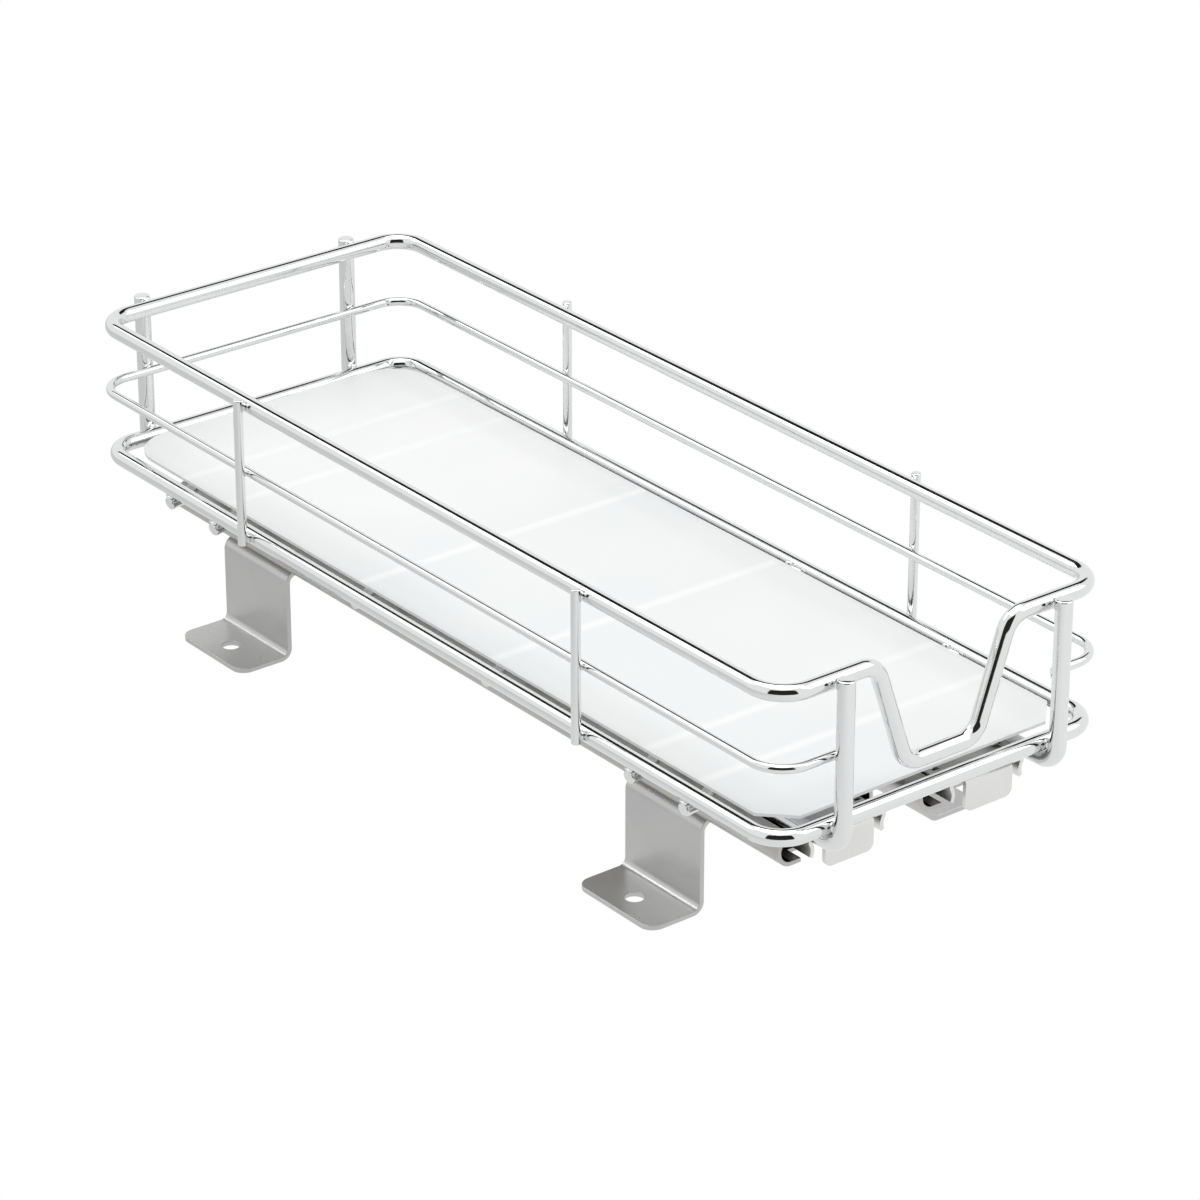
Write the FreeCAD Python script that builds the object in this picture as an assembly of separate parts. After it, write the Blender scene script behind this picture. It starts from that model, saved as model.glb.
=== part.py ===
import FreeCAD, Part
import math
import os

# Pull-out spice rack: a wire basket carried by two ball-bearing slides on four sheet brackets.
# Lengths are millimetres and angles degrees.
# X runs across the width, Y from the handle (-Y) to the back, Z up from the shelf it is screwed to.
# The middle of the rack's plan is the origin. The basket is drawn pushed fully in.

V = FreeCAD.Vector

# Basket
RAIL_D = 4.0              # top rail, bottom rail and the two runner wires
RAIL_HALF_X = 46.0        # rail centreline, half the width
RAIL_HALF_Y = 129.5       # rail centreline, half the depth
BOTTOM_RAIL_Z = 36.7
RAIL_RISE = 34.3          # bottom rail to top rail, centre to centre
TOP_CORNER_R = 8.0
BOTTOM_CORNER_R = 7.5
WELD_GAP = 0.03           # wires that are welded lie this far apart
MIDDLE_D = 2.2
MIDDLE_RISE = 17.1
MIDDLE_LEFT_END_X = 30.3  # its two ends stop behind the front posts
MIDDLE_RIGHT_END_X = 31.5
UPRIGHT_D = 2.3
UPRIGHT_INSET = 64.5      # from the end rail's centreline
UPRIGHT_BELOW = 1.5       # upright end below the bottom rail's centre
UPRIGHT_ABOVE = 2.1       # and above the top rail's centre

# Handle, a dip in the front of the top rail
DIP_TOP_HALF_X = 19.1
DIP_BAR_HALF_X = 10.0
DIP_BAR_RISE = 7.7        # bar centre above the bottom rail's centre
DIP_BEND_R = 5.5

# Runner wires, whose upturned ends are the posts
RUNNER_OVER = 10.75       # from the slide's centre to the wire that lies on its edge
RUNNER_OFFSET = 4.3       # centre to centre from the end rails, down and out
RUNNER_BEND_R = 5.0
POST_TOP_ABOVE = 1.9      # above the top rail's centre

# Floor
CROSS_D = 3.0
CROSS_INSETS = (29.5, 48.5, 104.0)   # from the nearer end rail's centreline
CROSS_FLAT_INSET = 7.5    # joggle, from the side rail's centreline
CROSS_JOGGLE_INSET = 3.0
CROSS_END_PAST = 1.2      # the outer wires' ends stick out past that centreline
CROSS_MIDDLE_SHORT = 1.2  # the middle pair's ends stop this far before it
CROSS_BEND_R = 3.0
LINER_T = 0.8
LINER_SIDE_GAP = 1.6      # to the rails
LINER_FRONT_GAP = 2.4
LINER_BACK_GAP = 1.1
LINER_FRONT_CUT = 7.0
LINER_BACK_R = 12.0

# Slides
SLIDE_SPACE = 6.5         # between the two channels
SLIDE_SHEET = 1.0
SLIDE_WIDTH = 34.0
SLIDE_BASE_Z = 23.2       # underside of the fixed channel, on the brackets
BALL_D = 5.56
BALL_PLAY = 0.05          # between a ball and each race
CHANNEL_FRONT_INSET = 9.5     # from the end rails' centrelines
CHANNEL_BACK_INSET = 16.5
RIGHT_RACE_SHORT = 8.0
NOTCH_HALF_X = 10.4
NOTCH_DEPTH = 4.5
STOP_HALF_X = 6.5
STOP_HIGH = 4.0           # above the channel's underside
INNER_FRONT_INSET = 5.6
GROOVE_ABOVE = 32.0       # how far the groove wraps the ball, above and below its middle
GROOVE_BELOW = 28.0
TAB_HALF_X = 6.9
TAB_BELOW = 1.1           # below the channel's underside
TAB_CORNER_R = 2.0
TAB_BEND_R = 1.0          # middle of the sheet
TAB_RELIEF = 0.8
REAR_EAR_HALF_X = 5.0
REAR_EAR_ABOVE = 1.9      # above the channel's underside
PUNCH_X = 8.9
PUNCH_INSET = 8.6         # from the inner member's front
PUNCH_WIDE = 1.8
PUNCH_LONG = 2.3
STOP_PLAY = 0.2

# Ball cages
CAGE_SHEET = 0.35
CAGE_LIFT = 0.25          # cage underside above the channel's floor
CAGE_WING_X = 12.5
CAGE_WING_HIGH = 5.3      # above the channel's underside
CAGE_BEND_R = 0.5
CAGE_LENGTH = 62.0
CAGE_EAR_HALF_X = 4.0
CAGE_EAR_HIGH = 4.0
BALLS_PER_SIDE = 7
BALL_PITCH = 8.2
POCKET_PLAY = 0.06

# Rear bumpers
BUMPER_HALF_X = 6.0
BUMPER_LONG = 3.6
BUMPER_INSET = 0.3        # from the channel's back end
BUMPER_HIGH = 4.0
BUMPER_STEM_R = 1.2
BUMPER_STEM_PLAY = 0.02
BUMPER_FOOT_R = 1.7
BUMPER_FOOT_HIGH = 1.0

# Brackets
BRACKET_SHEET = 1.2
BRACKET_WIDTH = 26.6
BRACKET_INSET = 50.0      # bracket's middle from the end rail's centreline
BRACKET_LEFT_OUT = 16.05  # outer face of the upright leg from the slide's centre
BRACKET_RIGHT_OUT = 11.85     # the right-hand pair stands further in
BRACKET_TOP_REACH = 25.5
BRACKET_FOOT_REACH = 14.1     # foot's edge from the leg's outer face
BRACKET_BEND_R = 2.4      # middle of the sheet
FOOT_CORNER_R = 3.5
TOP_CORNER_CUT_R = 3.0
SCREW_HOLE_D = 4.5
SCREW_REACH = 7.8         # from the leg's outer face

# Rivets
RIVET_SPACING = 15.0
RIVET_D = 4.0
RIVET_PLAY = 0.02
RIVET_SINK = 0.05         # flat end below the channel's floor
RIVET_HEAD_D = 7.0
RIVET_HEAD_HIGH = 1.4

# Heights and places that follow from the sizes above
RAIL_R = RAIL_D / 2
TOP_RAIL_Z = BOTTOM_RAIL_Z + RAIL_RISE
MIDDLE_RAIL_Z = BOTTOM_RAIL_Z + MIDDLE_RISE
MIDDLE_HALF_X = RAIL_HALF_X + RAIL_R - MIDDLE_D / 2
MIDDLE_HALF_Y = RAIL_HALF_Y + RUNNER_OFFSET - RAIL_R - WELD_GAP - MIDDLE_D / 2
UPRIGHT_X = RAIL_HALF_X + RAIL_R + WELD_GAP + UPRIGHT_D / 2
UPRIGHT_Y = RAIL_HALF_Y - UPRIGHT_INSET
SLIDE_X = (SLIDE_WIDTH + SLIDE_SPACE) / 2
RUNNER_X = SLIDE_X + RUNNER_OVER
RUNNER_Z = BOTTOM_RAIL_Z - RUNNER_OFFSET
POST_Y = RAIL_HALF_Y + RUNNER_OFFSET
CROSS_R = CROSS_D / 2
CROSS_Z = RUNNER_Z + RAIL_R + WELD_GAP + CROSS_R
LINER_Z = CROSS_Z + CROSS_R + WELD_GAP
LINER_HALF_X = RAIL_HALF_X - RAIL_R - LINER_SIDE_GAP
LINER_FRONT_Y = -(RAIL_HALF_Y - RAIL_R - LINER_FRONT_GAP)
LINER_BACK_Y = RAIL_HALF_Y - RAIL_R - LINER_BACK_GAP
CHANNEL_FRONT_Y = -(RAIL_HALF_Y - CHANNEL_FRONT_INSET)
CHANNEL_BACK_Y = RAIL_HALF_Y - CHANNEL_BACK_INSET
INNER_FRONT_Y = -(RAIL_HALF_Y - INNER_FRONT_INSET)
BRACKET_Y = RAIL_HALF_Y - BRACKET_INSET
BALL_R = BALL_D / 2
RACE_R = BALL_R + BALL_PLAY
RACE_MID_R = RACE_R + SLIDE_SHEET / 2
BALL_X = SLIDE_WIDTH / 2 - SLIDE_SHEET - RACE_R
CHANNEL_FLOOR_Z = SLIDE_BASE_Z + SLIDE_SHEET
BALL_Z = CHANNEL_FLOOR_Z + RACE_R
INNER_TOP_Z = RUNNER_Z - RAIL_R - WELD_GAP
STOP_TOP_Z = SLIDE_BASE_Z + STOP_HIGH
TAB_BOTTOM_Z = SLIDE_BASE_Z - TAB_BELOW
REAR_EAR_BOTTOM_Z = SLIDE_BASE_Z + REAR_EAR_ABOVE
CAGE_WING_TOP_Z = SLIDE_BASE_Z + CAGE_WING_HIGH
CAGE_EAR_TOP_Z = SLIDE_BASE_Z + CAGE_EAR_HIGH
CAGE_FRONT_OPEN_Y = CHANNEL_FRONT_Y + NOTCH_DEPTH + SLIDE_SHEET + STOP_PLAY
BUMPER_FRONT_Y = CHANNEL_BACK_Y - BUMPER_INSET - BUMPER_LONG
INNER_BACK_Y = BUMPER_FRONT_Y - STOP_PLAY
REAR_EAR_FRONT_Y = INNER_BACK_Y - SLIDE_SHEET
TRAVEL = REAR_EAR_FRONT_Y - CAGE_FRONT_OPEN_Y - CAGE_LENGTH - STOP_PLAY
CAGE_FRONT_Y = CAGE_FRONT_OPEN_Y + TRAVEL / 2
FRONT, BACK = -1, 1
LEFT, RIGHT = -1, 1


def turned(vector, degrees):
    """A vector in the XZ plane turned towards +Z from +X."""
    a = math.radians(degrees)
    x = vector.x * math.cos(a) - vector.z * math.sin(a)
    return V(x, 0, vector.x * math.sin(a) + vector.z * math.cos(a))


def run(length):
    return ("run", length, 0)


def bend(radius, degrees):
    """A bend of the given middle radius; positive turns towards +Z from +X."""
    return ("bend", radius, degrees)


def strip_face(start_x, start_z, heading, moves, sheet):
    """Edge view, in the XZ plane, of a strip of sheet that follows straight runs and bends."""
    place = V(start_x, 0, start_z)
    ahead = turned(V(1, 0, 0), heading)
    near, far = [], []
    for kind, size, angle in moves:
        side = turned(ahead, 90)
        if kind == "run":
            end = place + ahead * size
            for edges, offset in ((near, sheet / 2), (far, -sheet / 2)):
                edges.append(Part.LineSegment(place + side * offset, end + side * offset).toShape())
            place = end
            continue
        hand = 1 if angle > 0 else -1
        centre = place + side * (size * hand)
        arm = place - centre
        for edges, offset in ((near, sheet / 2), (far, -sheet / 2)):
            stretched = arm * ((size - hand * offset) / size)
            points = [centre + turned(stretched, angle * part) for part in (0, 0.5, 1)]
            edges.append(Part.Arc(*points).toShape())
        place = centre + turned(arm, angle)
        ahead = turned(ahead, angle)
    ends = [near[0].valueAt(near[0].FirstParameter), far[0].valueAt(far[0].FirstParameter)]
    ends += [near[-1].valueAt(near[-1].LastParameter), far[-1].valueAt(far[-1].LastParameter)]
    first = Part.LineSegment(ends[0], ends[1]).toShape()
    last = Part.LineSegment(ends[2], ends[3]).toShape()
    outline = Part.Wire(Part.__sortEdges__([first] + near + [last] + far))
    return Part.Face(outline)


def both_halves(half):
    """A half section drawn from X = 0 and its mirror image, as one solid."""
    return half.fuse(half.mirror(V(0, 0, 0), V(1, 0, 0))).removeSplitter()


def block(x0, x1, y0, y1, z0, z1):
    return Part.makeBox(x1 - x0, y1 - y0, z1 - z0, V(x0, y0, z0))


def plate(corners, radii, z, thickness):
    """A flat plate with corners at the given (x, y) and a radius at each."""
    edges = rounded_edges([V(x, y, z) for x, y in corners], radii, True)
    return Part.Face(Part.Wire(edges)).extrude(V(0, 0, thickness))


def rounded_edges(points, radii, closed):
    """Straight edges through the points with a tangent arc of the given radius at each corner."""
    count = len(points)
    cut_in, cut_out, arcs = list(points), list(points), [None] * count
    for i in range(count):
        if radii[i] == 0 or (not closed and i in (0, count - 1)):
            continue
        before = (points[i - 1] - points[i]).normalize()
        after = (points[(i + 1) % count] - points[i]).normalize()
        half = before.getAngle(after) / 2
        back_off = radii[i] / math.tan(half)
        cut_in[i] = points[i] + before * back_off
        cut_out[i] = points[i] + after * back_off
        inward = (before + after).normalize()
        middle = points[i] + inward * (radii[i] / math.sin(half) - radii[i])
        arcs[i] = Part.Arc(cut_in[i], middle, cut_out[i]).toShape()
    edges = []
    for i in range(count):
        if arcs[i]:
            edges.append(arcs[i])
        if i < count - 1 or closed:
            edges.append(Part.LineSegment(cut_out[i], cut_in[(i + 1) % count]).toShape())
    return edges


def bent_wire(points, radii, diameter):
    """A round wire through the points, cut square at both ends."""
    path = Part.Wire(rounded_edges(points, radii, False))
    ahead = points[1] - points[0]
    section = Part.Wire(Part.makeCircle(diameter / 2, points[0], ahead))
    return path.makePipeShell([section], True, False)


def wire_ring(half_ring, diameter):
    """A closed ring: the wire along one half, from X = 0 back to X = 0, and its mirror image."""
    points, radii = half_ring
    half = bent_wire(points, radii, diameter)
    return both_halves(half)


def save(name, shape):
    shape.exportStep("parts/" + name + ".step")


def top_rail():
    """The upper ring; its front dips to a bar that is the handle."""
    x, y, z, bar_z = RAIL_HALF_X, RAIL_HALF_Y, TOP_RAIL_Z, BOTTOM_RAIL_Z + DIP_BAR_RISE
    points = [V(0, -y, bar_z), V(DIP_BAR_HALF_X, -y, bar_z), V(DIP_TOP_HALF_X, -y, z)]
    points += [V(x, -y, z), V(x, y, z), V(0, y, z)]
    return wire_ring((points, [0, DIP_BEND_R, DIP_BEND_R, TOP_CORNER_R, TOP_CORNER_R, 0]), RAIL_D)


def bottom_rail():
    x, y, z, r = RAIL_HALF_X, RAIL_HALF_Y, BOTTOM_RAIL_Z, BOTTOM_CORNER_R
    points = [V(0, -y, z), V(x, -y, z), V(x, y, z), V(0, y, z)]
    return wire_ring((points, [0, r, r, 0]), RAIL_D)


def middle_rail():
    """The thin guard wire round the back and sides, open at the front between the posts."""
    x, y, z, r = MIDDLE_HALF_X, MIDDLE_HALF_Y, MIDDLE_RAIL_Z, TOP_CORNER_R
    points = [V(-MIDDLE_LEFT_END_X, -y, z), V(-x, -y, z), V(-x, y, z)]
    points += [V(x, y, z), V(x, -y, z), V(MIDDLE_RIGHT_END_X, -y, z)]
    return bent_wire(points, [0, r, r, r, r, 0], MIDDLE_D)


def upright(side, end):
    """A short rod outside the rails, tying the three together."""
    low = V(side * UPRIGHT_X, end * UPRIGHT_Y, BOTTOM_RAIL_Z - UPRIGHT_BELOW)
    return Part.makeCylinder(UPRIGHT_D / 2, UPRIGHT_BELOW + RAIL_RISE + UPRIGHT_ABOVE, low)


def runner_wire(side):
    """A long U: the run under the floor, on the slide, turned up into the front and rear posts."""
    x, y, low, high = side * RUNNER_X, POST_Y, RUNNER_Z, TOP_RAIL_Z + POST_TOP_ABOVE
    points = [V(x, -y, high), V(x, -y, low), V(x, y, low), V(x, y, high)]
    return bent_wire(points, [0, RUNNER_BEND_R, RUNNER_BEND_R, 0], RAIL_D)


def cross_wire(y, past):
    """A floor wire over the runner wires, joggled down at both ends to touch the side rails.

    Its ends reach past the rails' centrelines, or stop before them where past is negative. The top
    of the wire then meets the rail's round underside at the wire's end.
    """
    drop = math.sqrt((RAIL_R + WELD_GAP) ** 2 - min(past, 0) ** 2)
    end_z = BOTTOM_RAIL_Z - drop - CROSS_R
    half = [V(RAIL_HALF_X + past, y, end_z)]
    half.append(V(RAIL_HALF_X - CROSS_JOGGLE_INSET, y, end_z))
    half.append(V(RAIL_HALF_X - CROSS_FLAT_INSET, y, CROSS_Z))
    points = half + [V(-p.x, p.y, p.z) for p in reversed(half)]
    r = CROSS_BEND_R
    return bent_wire(points, [0, r, r, r, r, 0], CROSS_D)


def floor_liner():
    """The frosted sheet that the jars stand on."""
    x, front, back, cut = LINER_HALF_X, LINER_FRONT_Y, LINER_BACK_Y, LINER_FRONT_CUT
    corners = [(-x + cut, front), (x - cut, front), (x, front + cut), (x, back)]
    corners += [(-x, back), (-x, front + cut)]
    return plate(corners, [0, 0, 0, LINER_BACK_R, LINER_BACK_R, 0], LINER_Z, LINER_T)


def channel_blank():
    """The fixed channel's section: flat floor and two sides rolled over the balls, mouth up."""
    moves = [run(BALL_X), bend(RACE_MID_R, 180)]
    half = strip_face(0, SLIDE_BASE_Z + SLIDE_SHEET / 2, 0, moves, SLIDE_SHEET)
    half = half.extrude(V(0, CHANNEL_BACK_Y - CHANNEL_FRONT_Y, 0))
    half.translate(V(0, CHANNEL_FRONT_Y, 0))
    return both_halves(half)


def slide_channel(side):
    """The outer member, riveted to two brackets, with its front notch, cage stop and bumper hole."""
    shape = channel_blank()
    edge = SLIDE_WIDTH / 2 + 1
    low, high = SLIDE_BASE_Z - 1, BALL_Z + RACE_R + 2 * SLIDE_SHEET
    notch_back = CHANNEL_FRONT_Y + NOTCH_DEPTH
    shape = shape.cut(block(-NOTCH_HALF_X, edge, CHANNEL_FRONT_Y - 1, notch_back, low, high))
    short_y = CHANNEL_FRONT_Y + RIGHT_RACE_SHORT
    shape = shape.cut(block(NOTCH_HALF_X, edge, CHANNEL_FRONT_Y - 1, short_y, low, high))
    stop_y = notch_back + SLIDE_SHEET
    stop = block(-STOP_HALF_X, STOP_HALF_X, notch_back, stop_y, SLIDE_BASE_Z, STOP_TOP_Z)
    shape = shape.fuse(stop).removeSplitter()
    shape.translate(V(side * SLIDE_X, 0, 0))
    for end in (FRONT, BACK):
        for x, y in rivet_places(side, end):
            hole = Part.makeCylinder(RIVET_D / 2 + RIVET_PLAY, 2 * SLIDE_SHEET, V(x, y, low))
            shape = shape.cut(hole)
    stem = V(side * SLIDE_X, BUMPER_FRONT_Y + BUMPER_LONG / 2, low)
    return shape.cut(Part.makeCylinder(BUMPER_STEM_R + BUMPER_STEM_PLAY, 3 * SLIDE_SHEET, stem))


def end_tab(half_x, start_y, face_y, bottom_z):
    """The end of the inner member's web bent down, its outer face at face_y."""
    toward = 1 if face_y > start_y else -1
    web_z = INNER_TOP_Z - SLIDE_SHEET / 2
    reach = abs(face_y - start_y) - SLIDE_SHEET / 2 - TAB_BEND_R
    drop = web_z - TAB_BEND_R - bottom_z
    moves = [run(reach), bend(TAB_BEND_R, -90), run(drop)]
    shape = strip_face(0, web_z, 0, moves, SLIDE_SHEET).extrude(V(0, 2 * half_x, 0))
    shape.rotate(V(0, 0, 0), V(0, 0, 1), 90 * toward)
    shape.translate(V(half_x * toward, start_y, 0))
    return shape


def front_tab():
    """The wide tab under each slide's front end, with rounded lower corners."""
    start = INNER_FRONT_Y + SLIDE_SHEET + TAB_BEND_R + TAB_RELIEF
    tab = end_tab(TAB_HALF_X, start, INNER_FRONT_Y, TAB_BOTTOM_Z)
    x, y, r = TAB_HALF_X, INNER_FRONT_Y, TAB_CORNER_R
    points = [V(-x, y, INNER_TOP_Z), V(-x, y, TAB_BOTTOM_Z), V(x, y, TAB_BOTTOM_Z), V(x, y, INNER_TOP_Z)]
    face = Part.Face(Part.Wire(rounded_edges(points, [0, r, r, 0], True)))
    return tab.common(face.extrude(V(0, start - INNER_FRONT_Y, 0)))


def inner_blank(front_y, back_y):
    """The moving member's section: flat web on top, edges folded under and grooved for the balls."""
    web_z = INNER_TOP_Z - SLIDE_SHEET / 2
    groove_top_z = BALL_Z + RACE_MID_R * math.sin(math.radians(GROOVE_ABOVE))
    groove_top_x = BALL_X - RACE_MID_R * math.cos(math.radians(GROOVE_ABOVE))
    fold = 90 + GROOVE_ABOVE
    fold_r = (web_z - groove_top_z) / (1 - math.cos(math.radians(fold)))
    web_half = groove_top_x - fold_r * math.sin(math.radians(fold))
    moves = [run(web_half), bend(fold_r, -fold), bend(RACE_MID_R, GROOVE_ABOVE + GROOVE_BELOW)]
    half = strip_face(0, web_z, 0, moves, SLIDE_SHEET).extrude(V(0, back_y - front_y, 0))
    half.translate(V(0, front_y, 0))
    return both_halves(half)


def slide_inner(side):
    """The inner member, welded under a runner wire, with its front tab and rear ear."""
    tab_root = INNER_FRONT_Y + SLIDE_SHEET + TAB_BEND_R + TAB_RELIEF
    shape = inner_blank(INNER_FRONT_Y + TAB_RELIEF, INNER_BACK_Y)
    ear_root = INNER_BACK_Y - SLIDE_SHEET - TAB_BEND_R - TAB_RELIEF
    low, high = INNER_TOP_Z - 2 * SLIDE_SHEET, INNER_TOP_Z + 1
    wide, ear_wide = TAB_HALF_X + TAB_RELIEF, REAR_EAR_HALF_X + TAB_RELIEF
    shape = shape.cut(block(-wide, wide, INNER_FRONT_Y - 1, tab_root, low, high))
    shape = shape.cut(block(-ear_wide, ear_wide, ear_root, INNER_BACK_Y + 1, low, high))
    shape = shape.fuse(front_tab())
    shape = shape.fuse(end_tab(REAR_EAR_HALF_X, ear_root, INNER_BACK_Y, REAR_EAR_BOTTOM_Z))
    for hand in (LEFT, RIGHT):
        x0, y0 = hand * PUNCH_X - PUNCH_WIDE / 2, INNER_FRONT_Y + PUNCH_INSET - PUNCH_LONG / 2
        shape = shape.cut(block(x0, x0 + PUNCH_WIDE, y0, y0 + PUNCH_LONG, low, high))
    shape = shape.removeSplitter()
    shape.translate(V(side * SLIDE_X, 0, 0))
    return shape


def ball_places(side):
    """Ball centres of one slide with the basket pushed in."""
    first = CAGE_FRONT_Y + (CAGE_LENGTH - (BALLS_PER_SIDE - 1) * BALL_PITCH) / 2
    rows = [first + i * BALL_PITCH for i in range(BALLS_PER_SIDE)]
    return [V(side * SLIDE_X + hand * BALL_X, y, BALL_Z) for hand in (LEFT, RIGHT) for y in rows]


def ball_cage(side):
    """A thin strip that spaces the balls of both races, with a turned-up ear at each end."""
    base_z = CHANNEL_FLOOR_Z + CAGE_LIFT + CAGE_SHEET / 2
    wing = CAGE_WING_TOP_Z - base_z - CAGE_BEND_R
    moves = [run(CAGE_WING_X - CAGE_BEND_R), bend(CAGE_BEND_R, 90), run(wing)]
    half = strip_face(0, base_z, 0, moves, CAGE_SHEET).extrude(V(0, CAGE_LENGTH, 0))
    half.translate(V(0, CAGE_FRONT_Y, 0))
    shape = both_halves(half)
    for y in (CAGE_FRONT_Y, CAGE_FRONT_Y + CAGE_LENGTH - CAGE_SHEET):
        ear = block(-CAGE_EAR_HALF_X, CAGE_EAR_HALF_X, y, y + CAGE_SHEET, base_z, CAGE_EAR_TOP_Z)
        shape = shape.fuse(ear)
    shape = shape.removeSplitter()
    shape.translate(V(side * SLIDE_X, 0, 0))
    for centre in ball_places(side):
        shape = shape.cut(Part.makeSphere(BALL_R + POCKET_PLAY, centre))
    return shape


def balls(side):
    return Part.makeCompound([Part.makeSphere(BALL_R, centre) for centre in ball_places(side)])


def slide_bumper(side):
    """The rubber stop at the back of a channel, held by a stem through its floor."""
    x = side * SLIDE_X
    body = block(x - BUMPER_HALF_X, x + BUMPER_HALF_X, BUMPER_FRONT_Y, BUMPER_FRONT_Y + BUMPER_LONG,
                 CHANNEL_FLOOR_Z, CHANNEL_FLOOR_Z + BUMPER_HIGH)
    middle_y = BUMPER_FRONT_Y + BUMPER_LONG / 2
    foot_z = SLIDE_BASE_Z - BUMPER_FOOT_HIGH
    stem = Part.makeCylinder(BUMPER_STEM_R, SLIDE_SHEET + BUMPER_FOOT_HIGH, V(x, middle_y, foot_z))
    foot = Part.makeCylinder(BUMPER_FOOT_R, BUMPER_FOOT_HIGH, V(x, middle_y, foot_z))
    return body.fuse(stem).fuse(foot).removeSplitter()


def rivet_places(side, end):
    """Rivet centres of one bracket, on the slide's centreline."""
    return [(side * SLIDE_X, end * BRACKET_Y + part * RIVET_SPACING / 2) for part in (-1, 1)]


def bracket(side, end):
    """A Z of sheet: top under the channel, upright leg, and a foot that points outwards."""
    face_x = SLIDE_X + (BRACKET_LEFT_OUT if side == LEFT else BRACKET_RIGHT_OUT)
    leg_x, foot_x = face_x - BRACKET_SHEET / 2, face_x + BRACKET_FOOT_REACH
    top_z, foot_z = SLIDE_BASE_Z - BRACKET_SHEET / 2, BRACKET_SHEET / 2
    inner_x = face_x - BRACKET_TOP_REACH
    r = BRACKET_BEND_R
    moves = [run(leg_x - r - inner_x), bend(r, -90), run(top_z - foot_z - 2 * r), bend(r, 90)]
    moves.append(run(foot_x - leg_x - r))
    shape = strip_face(inner_x, top_z, 0, moves, BRACKET_SHEET).extrude(V(0, BRACKET_WIDTH, 0))
    shape.translate(V(0, -BRACKET_WIDTH / 2, 0))
    half = BRACKET_WIDTH / 2
    corners = [(inner_x, -half), (foot_x, -half), (foot_x, half), (inner_x, half)]
    radii = [TOP_CORNER_CUT_R, FOOT_CORNER_R, FOOT_CORNER_R, TOP_CORNER_CUT_R]
    shape = shape.common(plate(corners, radii, 0, SLIDE_BASE_Z))
    screw = V(face_x + SCREW_REACH, 0, 0)
    shape = shape.cut(Part.makeCylinder(SCREW_HOLE_D / 2, 2 * BRACKET_SHEET, screw))
    if side == LEFT:
        shape = shape.mirror(V(0, 0, 0), V(1, 0, 0))
    shape.translate(V(0, end * BRACKET_Y, 0))
    hole_bottom = SLIDE_BASE_Z - 2 * BRACKET_SHEET
    for x, y in rivet_places(side, end):
        hole = Part.makeCylinder(RIVET_D / 2 + RIVET_PLAY, 2 * BRACKET_SHEET, V(x, y, hole_bottom))
        shape = shape.cut(hole)
    return shape


def rivet(x, y):
    """A rivet with its round head under the bracket and its flat end flush in the channel."""
    seat_z = SLIDE_BASE_Z - BRACKET_SHEET
    shank = Part.makeCylinder(RIVET_D / 2, CHANNEL_FLOOR_Z - RIVET_SINK - seat_z, V(x, y, seat_z))
    dome_r = ((RIVET_HEAD_D / 2) ** 2 + RIVET_HEAD_HIGH ** 2) / (2 * RIVET_HEAD_HIGH)
    head_z = seat_z - RIVET_HEAD_HIGH
    dome = Part.makeSphere(dome_r, V(x, y, head_z + dome_r))
    head = dome.common(Part.makeCylinder(RIVET_HEAD_D / 2, RIVET_HEAD_HIGH, V(x, y, head_z)))
    return shank.fuse(head)


save("top_rail", top_rail())
save("middle_rail", middle_rail())
save("bottom_rail", bottom_rail())
save("floor_liner", floor_liner())

cross_y = [-(RAIL_HALF_Y - inset) for inset in CROSS_INSETS]
cross_y += [-y for y in reversed(cross_y)]
middle_pair = (3, 4)
for number, wire_y in enumerate(cross_y, 1):
    end_past = -CROSS_MIDDLE_SHORT if number in middle_pair else CROSS_END_PAST
    save("cross_wire_%d" % number, cross_wire(wire_y, end_past))

rivets = []
for side_name, side in (("left", LEFT), ("right", RIGHT)):
    save(side_name + "_runner_wire", runner_wire(side))
    save(side_name + "_slide_inner", slide_inner(side))
    save(side_name + "_slide_channel", slide_channel(side))
    save(side_name + "_ball_cage", ball_cage(side))
    save(side_name + "_balls", balls(side))
    save(side_name + "_slide_bumper", slide_bumper(side))
    for end_name, end in (("front", FRONT), ("rear", BACK)):
        save(side_name + "_" + end_name + "_upright", upright(side, end))
        save(side_name + "_" + end_name + "_bracket", bracket(side, end))
        rivets += [rivet(x, y) for x, y in rivet_places(side, end)]
save("bracket_rivets", Part.makeCompound(rivets))
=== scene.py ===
import math
import bmesh
import bpy
import numpy as np
from mathutils import Matrix, Vector


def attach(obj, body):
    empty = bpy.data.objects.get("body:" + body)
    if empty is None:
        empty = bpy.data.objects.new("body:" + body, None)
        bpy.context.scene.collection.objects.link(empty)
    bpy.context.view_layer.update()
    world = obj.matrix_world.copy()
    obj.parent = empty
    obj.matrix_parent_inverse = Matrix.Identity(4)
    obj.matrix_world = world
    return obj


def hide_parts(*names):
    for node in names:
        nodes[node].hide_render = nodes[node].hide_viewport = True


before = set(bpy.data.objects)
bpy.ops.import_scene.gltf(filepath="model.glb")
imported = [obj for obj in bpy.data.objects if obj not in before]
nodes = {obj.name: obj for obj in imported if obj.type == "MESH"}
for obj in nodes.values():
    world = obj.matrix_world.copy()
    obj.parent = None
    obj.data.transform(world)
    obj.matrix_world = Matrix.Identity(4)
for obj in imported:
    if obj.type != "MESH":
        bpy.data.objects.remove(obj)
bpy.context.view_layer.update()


# The four brackets are Z-shaped steel sheet, 1.2 mm thick, sheared, bent and plated in satin
# nickel. They are screwed to the shelf through one hole in each foot.

scene = bpy.context.scene
MM = 0.001


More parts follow.
